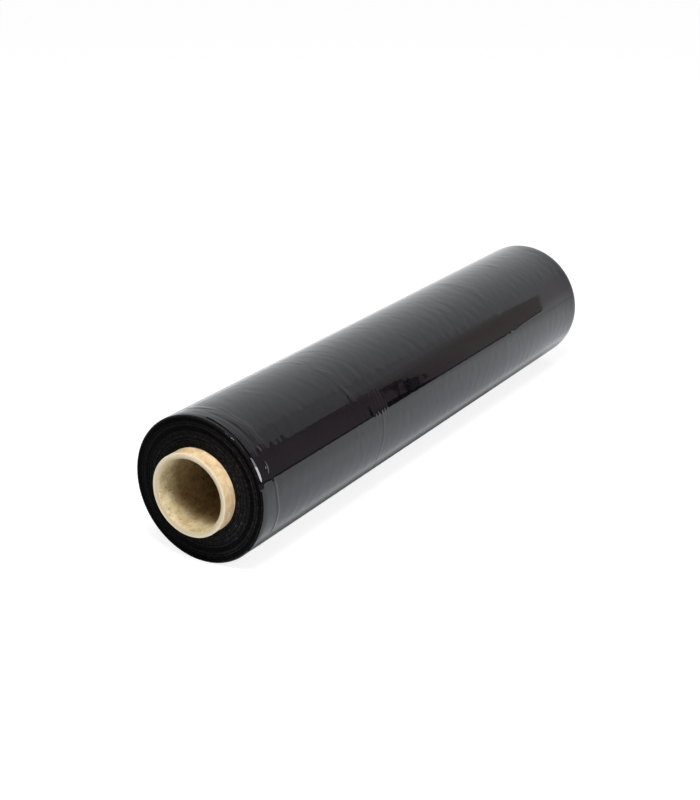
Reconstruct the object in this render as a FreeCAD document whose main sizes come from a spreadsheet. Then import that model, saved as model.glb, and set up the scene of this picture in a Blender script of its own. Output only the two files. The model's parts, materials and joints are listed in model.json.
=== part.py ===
"""A roll of stretch wrap on its cardboard core, lying on its side.

X runs along the roll, Y across it and Z up. The origin is on the surface that the roll lies on, under the
middle of its length. The roll is two pieces: the core tube and the film wound on it. Lengths are in millimetres.
"""

import FreeCAD, Part
import Sketcher
import math
import os

SHEET = "Sizes"

# The driving sizes, each with what it measures.
DRIVING_SIZES = [
    ("core_bore", 51.0, "inside diameter of the core, the common two-inch size"),
    ("core_wall", 4.5, "thickness of the core's spirally wound cardboard"),
    ("core_overhang", 11.0, "how far the core stands out of the film at each end"),
    ("core_edge_break", 0.3, "chamfer left by the saw and by handling on each edge of the core"),
    ("film_width", 500.0, "width of the film, which is the length of the wound roll"),
    ("film_build", 23.0, "thickness of the wound film, from the core to the outermost turn"),
    ("film_edge_radius", 1.2, "rounding of the outermost turns at each end"),
    ("edge_land", 2.4, "plain band of turns beside that rounding"),
    ("ring_pitch", 1.7, "distance from one standing ring of turns to the next on an end face"),
    ("ring_depth", 0.5, "how far the deepest turns lie behind the ones that stand out"),
    ("crease_width", 5.0, "width of a crease that runs round the roll"),
    ("crease_depth", 0.25, "depth of a crease that runs round the roll"),
    ("front_crease_edge", 17.0, "first crease, from the front end of the film"),
    ("front_crease_middle", 123.0, "second crease, from the front end of the film"),
    ("front_crease_inner", 151.0, "third crease, from the front end of the film"),
    ("back_crease_inner", 193.0, "fourth crease, from the back end of the film"),
    ("back_crease_middle", 140.0, "fifth crease, from the back end of the film"),
    ("flat_width", 12.0, "width of the flat spot that the soft roll gets where it lies"),
]

# Sizes that follow from the driving ones, as expressions.
CORE_LENGTH = f"({SHEET}.film_width + 2 * {SHEET}.core_overhang)"
CORE_RADIUS = f"({SHEET}.core_bore / 2 + {SHEET}.core_wall)"
FILM_RADIUS = f"({CORE_RADIUS} + {SHEET}.film_build)"
AXIS_HEIGHT = f"sqrt({FILM_RADIUS}^2 - ({SHEET}.flat_width / 2)^2)"
FRONT_END = f"(-{SHEET}.film_width / 2)"
BACK_END = f"({SHEET}.film_width / 2)"
CLEAR_OF_ROLL = f"(2 * {FILM_RADIUS})"

FULL_TURN = 360.0
QUARTER_TURN = 90.0

# The rounded edge of the film is drawn with this many straight lines, which stay within 0.05 mm of the arc.
EDGE_LINES = 3

# The rings of turns on an end face, as shares of ring_depth: where a ring stands out, where it lies back between
# two of them, and how far each strays from that. The strays follow two sines, given in radians for each corner.
STANDING_OUT = 0.25
LYING_BACK = 0.7
STRAY = 0.14
SLOW_SINE = 2.4
QUICK_SINE = 5.1
FRONT_PHASE = 0.6
BACK_PHASE = 2.1


def make_sheet(document):
    """Writes the driving sizes into a sheet, one to a row, each under its own alias."""
    sheet = document.addObject("Spreadsheet::Sheet", SHEET)
    for row, (alias, number, meaning) in enumerate(DRIVING_SIZES, start=1):
        sheet.set(f"A{row}", alias)
        sheet.set(f"B{row}", str(number))
        sheet.set(f"C{row}", meaning)
        sheet.setAlias(f"B{row}", alias)
    document.recompute()
    return sheet


def origin_plane(body, role):
    """Finds one of the body's own origin planes."""
    return next(feature for feature in body.Origin.OriginFeatures if feature.Role == role)


def make_sketch(body, name, role):
    """Starts a sketch on one of the body's own origin planes."""
    sketch = body.newObject("Sketcher::SketchObject", name)
    sketch.AttachmentSupport = [(origin_plane(body, role), "")]
    sketch.MapMode = "FlatFace"
    return sketch


def add_outline(sketch, sheet, corners):
    """Draws a closed outline through the corners, and binds each corner's two places to their expressions."""
    points = []
    for across, up in corners:
        points.append(FreeCAD.Vector(float(sheet.evalExpression(across)), float(sheet.evalExpression(up)), 0))
    first_line = sketch.GeometryCount
    for start, end in zip(points, points[1:] + points[:1]):
        sketch.addGeometry(Part.LineSegment(start, end), False)
    last_line = sketch.GeometryCount - 1
    for number, (across, up) in enumerate(corners):
        line = first_line + number
        line_before = line - 1 if number else last_line
        sketch.addConstraint(Sketcher.Constraint("Coincident", line_before, 2, line, 1))
        place = points[number]
        row = sketch.addConstraint(Sketcher.Constraint("DistanceX", -1, 1, line, 1, place.x))
        sketch.setExpression(f"Constraints[{row}]", across)
        row = sketch.addConstraint(Sketcher.Constraint("DistanceY", -1, 1, line, 1, place.y))
        sketch.setExpression(f"Constraints[{row}]", up)


def add_circle(sketch, sheet, radius):
    """Draws a circle about the sketch's origin, with its radius bound to an expression."""
    number = float(sheet.evalExpression(radius))
    middle = FreeCAD.Vector(0, 0, 0)
    upright = FreeCAD.Vector(0, 0, 1)
    circle = sketch.addGeometry(Part.Circle(middle, upright, number), False)
    sketch.addConstraint(Sketcher.Constraint("Coincident", circle, 3, -1, 1))
    row = sketch.addConstraint(Sketcher.Constraint("Radius", circle, number))
    sketch.setExpression(f"Constraints[{row}]", radius)


def lay_on_surface(body):
    """Lifts a piece from the roll's axis to its height above the surface."""
    body.setExpression("Placement.Base.z", AXIS_HEIGHT)


def round_edges(shape):
    """Names the shape's edges that are whole circles."""
    names = []
    for number, edge in enumerate(shape.Edges, start=1):
        if isinstance(edge.Curve, Part.Circle) and edge.isClosed():
            names.append(f"Edge{number}")
    return names


def make_core_tube(document, sheet):
    """The core: a wound cardboard tube, sawn square at both ends, with its four edges slightly broken."""
    body = document.addObject("PartDesign::Body", "core_tube")
    body.Label = "core_tube"
    lay_on_surface(body)

    section = make_sketch(body, "core_section", "YZ_Plane")
    add_circle(section, sheet, CORE_RADIUS)
    add_circle(section, sheet, f"({SHEET}.core_bore / 2)")

    tube = body.newObject("PartDesign::Pad", "core_length")
    tube.Profile = section
    tube.SideType = "Symmetric"
    tube.setExpression("Length", CORE_LENGTH)
    document.recompute()

    edges = body.newObject("PartDesign::Chamfer", "core_edges")
    edges.Base = (tube, round_edges(tube.Shape))
    edges.setExpression("Size", f"{SHEET}.core_edge_break")
    document.recompute()
    return body


def ring_share(step, phase):
    """How far back one corner of the rings lies: by turns out and back, and uneven by the sum of two sines."""
    middle = LYING_BACK if step % 2 == 0 else STANDING_OUT
    return middle + STRAY * (math.sin(SLOW_SINE * step + phase) + math.sin(QUICK_SINE * step + 2 * phase)) / 2


def end_corners(sheet, end_place, inward, phase):
    """The corners of one end of the film, from the core outwards, in the half-section of the wound film.

    The turns never line up exactly, so the end face is a row of rings that stand out by turns. The last ring's foot
    is level with the plain band outside it. The rounded edge's corners lie on a quarter of a circle.
    """
    ringed_build = float(sheet.get("film_build")) - float(sheet.get("edge_land"))
    steps = 2 * max(1, round(ringed_build / float(sheet.get("ring_pitch"))))
    corners = []
    for step in range(steps + 1):
        share = ring_share(step, phase) if step < steps else 0.0
        across = f"{end_place} {inward} {SHEET}.ring_depth * {share:.4f}"
        corners.append((across, f"{CORE_RADIUS} + ({SHEET}.film_build - {SHEET}.edge_land) * {step} / {steps}"))
    for number in range(EDGE_LINES + 1):
        angle = math.radians(QUARTER_TURN * number / EDGE_LINES)
        across = f"{end_place} {inward} {SHEET}.film_edge_radius * {1 - math.cos(angle):.6f}"
        corners.append((across, f"{FILM_RADIUS} - {SHEET}.film_edge_radius * {1 - math.sin(angle):.6f}"))
    return corners


def crease_corners(place):
    """One crease: a shallow notch in the outermost turns, open above."""
    half = f"{SHEET}.crease_width / 2"
    return [
        (f"{place} - {half}", CLEAR_OF_ROLL),
        (f"{place} - {half}", FILM_RADIUS),
        (place, f"{FILM_RADIUS} - {SHEET}.crease_depth"),
        (f"{place} + {half}", FILM_RADIUS),
        (f"{place} + {half}", CLEAR_OF_ROLL),
    ]


def make_film_roll(document, sheet):
    """The wound film: all its turns are one solid, made by turning its half-section about the roll's axis."""
    body = document.addObject("PartDesign::Body", "film_roll")
    body.Label = "film_roll"
    lay_on_surface(body)

    front = end_corners(sheet, FRONT_END, "+", FRONT_PHASE)
    back = end_corners(sheet, BACK_END, "-", BACK_PHASE)
    half_section = make_sketch(body, "film_half_section", "XY_Plane")
    add_outline(half_section, sheet, front + back[::-1])

    turns = body.newObject("PartDesign::Revolution", "film_turns")
    turns.Profile = half_section
    turns.ReferenceAxis = (half_section, ["H_Axis"])
    turns.Angle = FULL_TURN
    document.recompute()

    crease_section = make_sketch(body, "crease_sections", "XY_Plane")
    for alias in ("front_crease_edge", "front_crease_middle", "front_crease_inner"):
        add_outline(crease_section, sheet, crease_corners(f"{FRONT_END} + {SHEET}.{alias}"))
    for alias in ("back_crease_inner", "back_crease_middle"):
        add_outline(crease_section, sheet, crease_corners(f"{BACK_END} - {SHEET}.{alias}"))
    creases = body.newObject("PartDesign::Groove", "creases")
    creases.Profile = crease_section
    creases.ReferenceAxis = (crease_section, ["H_Axis"])
    creases.Angle = FULL_TURN
    document.recompute()

    below = make_sketch(body, "below_flat_spot", "YZ_Plane")
    add_outline(below, sheet, [
        (f"-{FILM_RADIUS}", f"-{AXIS_HEIGHT}"),
        (FILM_RADIUS, f"-{AXIS_HEIGHT}"),
        (FILM_RADIUS, f"-{CLEAR_OF_ROLL}"),
        (f"-{FILM_RADIUS}", f"-{CLEAR_OF_ROLL}"),
    ])
    flat_spot = body.newObject("PartDesign::Pocket", "flat_spot")
    flat_spot.Profile = below
    flat_spot.SideType = "Symmetric"
    flat_spot.Type = "Length"
    flat_spot.setExpression("Length", CORE_LENGTH)
    document.recompute()

    for feature, before in ((creases, turns), (flat_spot, creases)):
        removed = before.Shape.Volume - feature.Shape.Volume
        print(f"{feature.Name} takes {removed:.1f} mm3 off the film")
        if removed <= 0:
            raise ValueError(f"{feature.Name} cuts nothing")
    return body


def check(document, bodies):
    """Stops unless every object was recomputed without a fault and each piece is one sound solid."""
    for thing in document.Objects:
        if "Invalid" in thing.State or "Error" in thing.State:
            raise ValueError(f"{thing.Name} is {thing.State}")
    for body in bodies:
        shape = body.Shape
        if shape.isNull() or not shape.isValid() or len(shape.Solids) != 1:
            raise ValueError(f"{body.Label} isn't one sound solid")


def main():
    document = FreeCAD.newDocument("stretch_wrap_roll")
    sheet = make_sheet(document)
    bodies = [make_core_tube(document, sheet), make_film_roll(document, sheet)]
    document.recompute()
    check(document, bodies)
    os.makedirs("parts", exist_ok=True)
    for body in bodies:
        box = body.Shape.optimalBoundingBox()
        body.Shape.exportStep(f"parts/{body.Label}.step")
        print(f"{body.Label}: {body.Shape.Volume / 1000:.1f} cm3, x {box.XMin:.2f} to {box.XMax:.2f},"
              f" y {box.YMin:.2f} to {box.YMax:.2f}, z {box.ZMin:.3f} to {box.ZMax:.2f}")


main()
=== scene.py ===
# %% [markdown]
# # A roll of stretch wrap
#
# This notebook dresses a roll of black stretch film on its cardboard core. The roll has two pieces: the
# tube of kraft board, and the film wound on it. The solids that carry the sizes come from the frame, and
# nothing here moves them. Both pieces are made again as finer skins in the same places, because a solid
# can't hold the look of thin film: it is drawn tight over thousands of turns, and its shine shows every
# fold.

# %% Load the frame
import json
import math

import bpy
import numpy as np
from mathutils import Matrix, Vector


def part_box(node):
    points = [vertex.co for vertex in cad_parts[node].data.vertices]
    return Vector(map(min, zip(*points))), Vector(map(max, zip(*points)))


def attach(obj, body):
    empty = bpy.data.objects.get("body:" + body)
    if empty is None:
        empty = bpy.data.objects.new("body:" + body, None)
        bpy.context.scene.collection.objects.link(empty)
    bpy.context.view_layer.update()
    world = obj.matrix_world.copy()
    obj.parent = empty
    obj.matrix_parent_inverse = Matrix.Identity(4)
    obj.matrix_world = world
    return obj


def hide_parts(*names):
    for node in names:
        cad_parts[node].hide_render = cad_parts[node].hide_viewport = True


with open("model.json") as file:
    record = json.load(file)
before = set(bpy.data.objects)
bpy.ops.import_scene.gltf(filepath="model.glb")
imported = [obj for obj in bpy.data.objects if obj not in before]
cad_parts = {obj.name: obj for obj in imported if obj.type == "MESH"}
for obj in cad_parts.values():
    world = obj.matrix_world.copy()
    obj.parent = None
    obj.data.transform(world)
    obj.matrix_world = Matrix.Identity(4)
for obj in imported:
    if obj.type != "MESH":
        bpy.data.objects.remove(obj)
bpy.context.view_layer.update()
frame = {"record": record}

# %% [markdown]
# ## Sizes
#
# Every size below is read from the frame, so that the skins always fit it. The roll lies along X. A place
# on it is given by how far it is along the film, from the end that the camera sees, and by its angle round
# the roll: zero at the top, and growing towards the camera's side, which is -Y.

# %% Read the sizes
MM = 0.001
film_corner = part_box("film_roll")[1]
core_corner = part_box("core_tube")[1]
bore_mount = next(mount for mount in frame["record"]["mounts"] if mount["name"] == "core_bore")

AXIS_HEIGHT = bore_mount["pos_m"][2]
BORE_RADIUS = bore_mount["dims"]["r_mm"] * MM
CORE_RADIUS = core_corner.y
CORE_END = core_corner.x
FILM_RADIUS = film_corner.y
FILM_END = film_corner.x
FILM_WIDTH = 2 * FILM_END
print(f"film {FILM_WIDTH / MM:.1f} mm wide and {2 * FILM_RADIUS / MM:.1f} mm across")
print(f"axis {AXIS_HEIGHT / MM:.2f} mm above the floor")

# %% [markdown]
# ## The camera
#
# The photograph looks down on the roll by 21 degrees, from beside its near end, so that the roll runs away
# to the right. The place, the direction and the lens were found by fitting the four outlines of the roll:
# its two ends and its two long edges.

# %% Set the camera
CAMERA_PLACE = (-0.9471, -0.5513, 0.4590)
CAMERA_DIRECTION = (0.7924, 0.4916, -0.3612)
LENS = 65.52
SENSOR_WIDTH = 36.0
FARTHEST_SEEN = 50.0


def new_object(name, data):
    """Adds an object to the scene."""
    made = bpy.data.objects.new(name, data)
    bpy.context.scene.collection.objects.link(made)
    return made


camera = new_object("camera", bpy.data.cameras.new("camera"))
camera.data.lens = LENS
camera.data.sensor_width = SENSOR_WIDTH
camera.data.clip_end = FARTHEST_SEEN
camera.location = CAMERA_PLACE
turn = math.atan2(-CAMERA_DIRECTION[0], CAMERA_DIRECTION[1])
tilt = math.pi / 2 + math.asin(CAMERA_DIRECTION[2] / math.hypot(*CAMERA_DIRECTION))
camera.rotation_euler = (tilt, 0.0, turn)
bpy.context.scene.camera = camera
bpy.context.scene.view_settings.view_transform = "Standard"
print(f"camera turned {math.degrees(turn):.2f} degrees, tilted {math.degrees(tilt):.2f}")

# %% [markdown]
# ## Nodes for the finishes
#
# A material is a small network of nodes, and a few helpers keep it short to write. A value that is the
# same all over goes straight on the shader's own socket.

# %% Helpers for materials
def add_node(tree, kind, settings=None, **inputs):
    """Adds a node. Settings go on the node itself, and inputs on its sockets, as values or as links."""
    node = tree.nodes.new(kind)
    for name, value in (settings or {}).items():
        setattr(node, name, value)
    for name, value in inputs.items():
        socket = node.inputs[int(name[1:])] if name[0] == "_" else node.inputs[name.replace("_", " ")]
        if isinstance(value, bpy.types.NodeSocket):
            tree.links.new(value, socket)
        else:
            socket.default_value = value
    return node


def new_material(name, **shader_values):
    """Makes a material with a Principled shader and sets its constants. Gives its tree and shader too."""
    material = bpy.data.materials.new(name)
    material.use_nodes = True
    tree = material.node_tree
    shader = next(node for node in tree.nodes if node.type == "BSDF_PRINCIPLED")
    for socket, value in shader_values.items():
        shader.inputs[socket.replace("_", " ")].default_value = value
    return material, tree, shader


def empty_tree(owner):
    """The node tree of a material or a world, with nothing in it yet."""
    owner.use_nodes = True
    owner.node_tree.nodes.clear()
    return owner.node_tree


def connect(tree, shader, **outputs):
    """Links outputs to the shader's sockets."""
    for socket, output in outputs.items():
        tree.links.new(output, shader.inputs[socket.replace("_", " ")])


def place_on_piece(tree):
    """The place on the piece, in metres."""
    return add_node(tree, "ShaderNodeTexCoord").outputs["Object"]


def coordinate(tree, axis):
    """The X, Y or Z of the place on the piece, in metres."""
    return add_node(tree, "ShaderNodeSeparateXYZ", Vector=place_on_piece(tree)).outputs[axis]


def mapped_place(tree, scale=(1.0, 1.0, 1.0), turn_by=(0.0, 0.0, 0.0)):
    """The place on the piece, turned and stretched for a texture."""
    node = add_node(tree, "ShaderNodeMapping", Vector=place_on_piece(tree), Scale=scale, Rotation=turn_by)
    return node.outputs["Vector"]


def noise(tree, vector, scale, detail=3.0, roughness=0.55):
    """A soft random pattern, from 0 to 1, at a number of patches per unit of its vector."""
    node = add_node(tree, "ShaderNodeTexNoise", Vector=vector, Scale=scale, Detail=detail,
                    Roughness=roughness)
    return node.outputs["Fac"]


def spread(tree, value, low, high, to_low, to_high):
    """Stretches the part of a value between low and high over a new range, and holds it there outside."""
    node = add_node(tree, "ShaderNodeMapRange", _0=value, _1=low, _2=high, _3=to_low, _4=to_high)
    return node.outputs[0]


def blend_colours(tree, factor, first, second):
    """A colour between two others."""
    node = add_node(tree, "ShaderNodeMix", {"data_type": "RGBA"}, _0=factor, _6=first, _7=second)
    return node.outputs[2]


def arithmetic(tree, operation, first, second=0.0):
    """One sum, product or other operation on two values."""
    return add_node(tree, "ShaderNodeMath", {"operation": operation}, _0=first, _1=second).outputs[0]


def product(tree, first, second):
    return arithmetic(tree, "MULTIPLY", first, second)


def total(tree, first, second):
    return arithmetic(tree, "ADD", first, second)


def distance_from_axis(tree):
    """The length of (Y, Z - axis height) at the place on the piece, in metres."""
    centred = add_node(tree, "ShaderNodeVectorMath", {"operation": "SUBTRACT"}, _0=place_on_piece(tree),
                       _1=(0.0, 0.0, AXIS_HEIGHT))
    across = add_node(tree, "ShaderNodeVectorMath", {"operation": "MULTIPLY"}, _0=centred.outputs[0],
                      _1=(0.0, 1.0, 1.0))
    length = add_node(tree, "ShaderNodeVectorMath", {"operation": "LENGTH"}, _0=across.outputs[0])
    return length.outputs["Value"]


def bump(tree, height, distance):
    """Tilts the surface by a height pattern whose full range stands for a distance in metres."""
    return add_node(tree, "ShaderNodeBump", Height=height, Distance=distance, Strength=1.0).outputs[0]


def for_rays(tree, kind, others, shader):
    """One shader for a kind of ray, and another for the others."""
    seen_by = add_node(tree, "ShaderNodeLightPath").outputs[f"Is {kind} Ray"]
    return add_node(tree, "ShaderNodeMixShader", Fac=seen_by, _1=others, _2=shader).outputs[0]


def sum_of_shaders(tree, first, second):
    return add_node(tree, "ShaderNodeAddShader", _0=first, _1=second).outputs[0]


# %% [markdown]
# ## A skin round the axis
#
# Both pieces are shapes of revolution with small departures. Their skin is a grid of two parameters: a
# place on the profile, and an angle round the axis. The profile is a closed loop that runs out over one
# end, along the outside, in over the other end, and back along the bore, so the grid closes on itself both
# ways and the skin has no edge.

# %% Make a skin from a grid
def skin_round_axis(name, along, radius, angle):
    """A closed skin: place = (along, -radius * sin(angle), axis height + radius * cos(angle)).

    The rows of the grid follow the profile and its columns go round. A place that would lie below the floor
    is lifted to it, which makes the flat spot where the soft roll lies.
    """
    y = -radius * np.sin(angle)
    z = np.maximum(AXIS_HEIGHT + radius * np.cos(angle), 0.0)
    places = np.stack([along, y, z], axis=-1)
    rows, columns = along.shape
    corner = np.arange(rows * columns).reshape(rows, columns)
    next_row = np.roll(corner, -1, axis=0)
    next_column = np.roll(corner, -1, axis=1)
    diagonal = np.roll(next_row, -1, axis=1)
    faces = np.stack([corner, next_column, diagonal, next_row], axis=-1).reshape(-1, 4)

    mesh = bpy.data.meshes.new(name)
    mesh.vertices.add(rows * columns)
    mesh.vertices.foreach_set("co", places.astype(np.float32).ravel())
    mesh.loops.add(faces.size)
    mesh.loops.foreach_set("vertex_index", faces.astype(np.int32).ravel())
    mesh.polygons.add(len(faces))
    mesh.polygons.foreach_set("loop_start", np.arange(0, faces.size, 4, dtype=np.int32))
    mesh.polygons.foreach_set("use_smooth", np.ones(len(faces), dtype=bool))
    mesh.update(calc_edges=True)
    mesh.validate()
    piece = new_object(name, mesh)
    first, second, third, fourth = places.reshape(-1, 3)[faces.T]
    volume = (first * (np.cross(second, third) + np.cross(third, fourth))).sum() / 6
    print(f"{name}: {2 * len(faces)} triangles, {volume * 1e6:.0f} cm3, above 0 if they face outwards")
    return piece


def paint_faces(piece, materials, numbers):
    """Gives each face of the grid the material of its number."""
    for material in materials:
        piece.data.materials.append(material)
    piece.data.polygons.foreach_set("material_index", np.asarray(numbers, dtype=np.int32).ravel())
    piece.data.update()


def smooth_step(value, low, high):
    """Goes from 0 at low to 1 at high with a level start and finish: t * t * (3 - 2 * t)."""
    share = np.clip((value - low) / (high - low), 0.0, 1.0)
    return share * share * (3.0 - 2.0 * share)


def window(value, low, high, edge):
    """One between low and high, and nothing outside, with soft edges."""
    up = smooth_step(value, low - edge, low + edge)
    return up * (1.0 - smooth_step(value, high - edge, high + edge))


# %% [markdown]
# ## Folds in the outermost turns
#
# Stretch film clings to the turn below it, so the roll's side is nearly a mirror. What gives it away as
# film are a few folds that run round the roll, where a turn went on slack, and a patch of ripples. A fold
# could be drawn with a bump texture, but its crest catches the light from every side, so it is real height
# in the skin. Each fold is a bell-shaped ridge, often steeper on one side, whose crest follows a few
# angles and places, in degrees and millimetres.

# %% Folds
FOLDS = [
    # name, half-widths towards the near end and the far one, crest as (angle, place, height) points
    ("edge, top", 1.0, 1.6, [(-44, 18.0, 0.03), (-20, 15.0, 0.05), (-8, 14.6, 0.20), (0, 15.8, 0.20),
                             (8, 17.0, 0.06)]),
    ("edge, front", 0.9, 1.2, [(2, 10.6, 0.08), (10, 11.2, 0.10), (16, 15.0, 0.06), (30, 16.6, 0.10),
                               (44, 16.4, 0.12), (54, 17.6, 0.08)]),
    ("edge, spot", 0.8, 1.2, [(48.5, 12.4, 0.85), (52, 12.9, 0.85)]),
    ("edge, glint", 0.8, 1.6, [(60, 11.6, 0.60), (62.5, 11.2, 0.78), (67, 10.8, 0.70)]),
    ("edge, low", 1.0, 1.3, [(72, 14.0, 0.14), (80, 15.2, 0.36), (90, 15.4, 0.34), (100, 17.6, 0.26),
                             (112, 17.8, 0.22), (140, 18.0, 0.12)]),
    ("second at edge", 0.8, 1.1, [(-10, 8.6, 0.08), (14, 7.2, 0.10), (34, 8.6, 0.10), (50, 7.6, 0.10),
                                  (58, 8.2, 0.08)]),
    ("third at edge", 0.9, 1.2, [(4, 21.0, 0.07), (18, 18.4, 0.10), (40, 19.0, 0.11), (54, 19.8, 0.10)]),
    ("fifth at edge", 0.7, 0.9, [(24, 6.0, 0.06), (36, 6.0, 0.08), (50, 5.6, 0.08), (66, 6.0, 0.08)]),
    ("ledge at edge", 0.9, 9.0, [(4, 12.2, 0.05), (14, 11.6, 0.10), (24, 12.6, 0.32), (36, 13.2, 0.32),
                                 (46, 14.2, 0.20), (53, 14.6, 0.06)]),
    ("small, first", 0.8, 1.2, [(36, 28.4, 0.07), (44, 27.4, 0.10), (56, 28.6, 0.07)]),
    ("small, second", 0.8, 1.2, [(38, 40.8, 0.08), (44, 39.8, 0.12), (53, 41.4, 0.09)]),
    ("small, third", 0.8, 1.2, [(34, 33.8, 0.05), (46, 34.6, 0.08), (54, 33.6, 0.05)]),
    ("middle, top", 1.1, 2.4, [(-26, 118.6, 0.02), (-12, 120.0, 0.05), (-3, 119.4, 0.05)]),
    ("middle, spot", 1.6, 0.9, [(-2, 120.0, 0.24), (3, 121.4, 0.24)]),
    ("middle", 0.9, 4.5, [(12, 120.0, 0.03), (18, 120.2, 0.10), (30, 122.4, 0.10), (37, 122.6, 0.08),
                          (44, 123.4, 0.16), (49, 124.0, 0.26), (56, 124.0, 0.26)]),
    ("middle, branch", 0.9, 1.4, [(16, 121.6, 0.04), (24, 125.0, 0.10), (32, 129.0, 0.04)]),
    ("inner", 1.0, 1.3, [(34, 152.8, 0.02), (54, 152.4, 0.04), (64, 153.4, 0.10), (75, 153.8, 0.12),
                         (92, 153.2, 0.11), (110, 152.6, 0.14), (128, 153.0, 0.08)]),
    ("inner, front", 0.9, 1.1, [(50, 145.6, 0.03), (64, 144.2, 0.07), (77, 145.4, 0.10)]),
    ("inner, between", 0.8, 0.9, [(54, 149.8, 0.03), (66, 149.2, 0.08), (77, 148.6, 0.10)]),
    ("inner, back", 0.9, 1.0, [(50, 156.4, 0.03), (66, 157.8, 0.08), (78, 157.0, 0.09)]),
    ("inner, teeth", 0.8, 0.9, [(64, 160.6, 0.06), (72, 161.4, 0.10), (78, 160.6, 0.06)]),
    ("far", 1.5, 1.5, [(12, 304.6, -0.08), (20, 307.5, -0.15), (34, 308.8, -0.10)]),
    ("far, spot", 1.4, 1.4, [(-6, 279.0, 0.10), (-2, 280.5, 0.10)]),
    ("band", 3.2, 2.6, [(-16, 352.5, 0.08), (-2, 354.0, 0.18), (14, 356.0, 0.08), (30, 356.4, 0.03)]),
    ("band, step", 1.4, 2.4, [(60, 364.0, 0.03), (68, 366.5, 0.05), (76, 367.5, 0.07), (84, 366.0, 0.04)]),
    ("last", 2.6, 2.2, [(-16, 421.0, 0.12), (6, 423.5, 0.14), (24, 424.0, 0.06)]),
    ("back, near end", 1.2, 1.6, [(-150, 60.0, 0.06), (-120, 64.0, 0.12), (-95, 61.0, 0.06)]),
    ("back, middle", 1.3, 2.0, [(-160, 262.0, 0.08), (-125, 266.0, 0.14), (-90, 268.0, 0.12),
                                (-70, 266.0, 0.06)]),
    ("back, far end", 1.1, 1.6, [(-140, 431.0, 0.06), (-110, 428.0, 0.12), (-80, 430.0, 0.08)]),
]
FADE_ANGLE = 2.0
print(f"{len(FOLDS)} folds")


def fold_relief(place, angle, near_width, far_width, crest):
    """A ridge: height * exp(-(distance from its crest / half-width) squared), faded out at its ends."""
    angles, places, heights = np.array(crest).T
    offset = place - np.interp(angle, angles, places)
    offset = np.where(offset < 0.0, offset / near_width, offset / far_width)
    height = np.interp(angle, angles, heights)
    return height * np.exp(-offset**2) * window(angle, angles[0], angles[-1], FADE_ANGLE)


# %% [markdown]
# At the near end the last few turns have come loose. Along the top and the front they stop three
# millimetres short of the end, and their cut edges show as a thin black line. In one stretch they have
# also drooped on the turns below, which makes a small ramp that catches the light. Lower down the whole
# edge is worn round, and so is one short spot near the top, which shows as a spark. Two tables give this
# by angle, in millimetres.

# %% The near edge
# angle, start of the step, its drop, its length
LOOSE_EDGE = [(0, 2.8, 0.0, 0.7), (8, 2.6, 0.15, 0.7), (20, 2.2, 0.4, 0.7), (49, 2.1, 0.5, 0.7),
              (54, 2.0, 0.9, 1.6), (60, 1.8, 1.25, 2.0), (69, 1.8, 1.25, 2.0), (73, 2.0, 0.5, 1.2),
              (78, 2.0, 0.0, 1.0)]
# angle, length of the worn edge, its drop
WORN_EDGE = [(-60, 3.0, 0.0), (-30, 4.5, 0.15), (-10, 4.5, 0.45), (8, 4.5, 0.40), (20, 3.0, 0.15),
             (28, 3.0, 0.15), (32, 1.2, 0.38), (37, 1.2, 0.38), (41, 3.5, 0.18), (48, 7.0, 0.32),
             (54, 4.0, 0.20), (74, 3.0, 0.15), (80, 6.0, 0.9), (112, 6.0, 1.0), (125, 4.0, 0.4),
             (140, 3.0, 0.0)]
STEEP_LENGTH = 1.0
LEAST_DROP = 0.1
CUT_BEFORE = 0.35
CUT_BEYOND = 0.2
CUT_RIM = 0.8
RAMP_ANGLES = (52.0, 72.0)
WORN_ANGLES = (76.0, 132.0)


def table_at(angle, table):
    """The columns of a table at each angle, blended between its rows."""
    columns = np.array(table).T
    return [np.interp(angle, columns[0], column) for column in columns[1:]]


def near_edge_relief(place, angle):
    """A step or ramp of the loose turns, and the worn edge: drop * (1 - place / length) squared."""
    foot, drop, length = table_at(angle, LOOSE_EDGE)
    step = drop * np.clip(1.0 - (place - foot) / length, 0.0, 1.0)
    worn_length, worn_drop = table_at(angle, WORN_EDGE)
    return -step - worn_drop * np.clip(1.0 - place / worn_length, 0.0, 1.0) ** 2


def cut_or_shaded_near_edge(place, angle):
    """Black at the near edge: cut film on a steep step and at the worn rim, and painted shade below the
    ramp.
    """
    foot, drop, length = table_at(angle, LOOSE_EDGE)
    steep = (length < STEEP_LENGTH) & (drop > LEAST_DROP)
    step = steep & (place > foot - CUT_BEFORE) & (place < foot + length + CUT_BEYOND)
    below_ramp = (angle > RAMP_ANGLES[0]) & (angle < RAMP_ANGLES[1]) & (place < foot)
    rim = (angle > WORN_ANGLES[0]) & (angle < WORN_ANGLES[1]) & (place < CUT_RIM)
    return step | below_ramp | rim


# %% [markdown]
# Beside the folds, the film waves everywhere by a few hundredths of a millimetre. The waves are sums of
# cosines that close on themselves round the roll. Along the front the film is tight and hardly waves, but
# for one slack patch with shallow ripples about a centimetre apart. One narrow band stands higher, where
# the film came thicker from the machine, and at the far end the last turns have crept in.

# %% Ripples, waves and bands
GIRTH = 2 * math.pi * FILM_RADIUS / MM
SLACK_HEIGHT = 0.004
SLACK_PLACES = (140.0, 226.0)
SLACK_ANGLES = (53.0, 73.0)
WAVE_HEIGHT = 0.005
STREAK_HEIGHT = 0.029
TIGHT_ANGLES = (52.0, 78.0)
BAND_HEIGHT = 0.05
BAND_PLACES = (353.0, 362.0)
CREEP_DEPTH = 0.35
CREEP_LENGTH = 2.0
random_numbers = np.random.default_rng(20)


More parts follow.
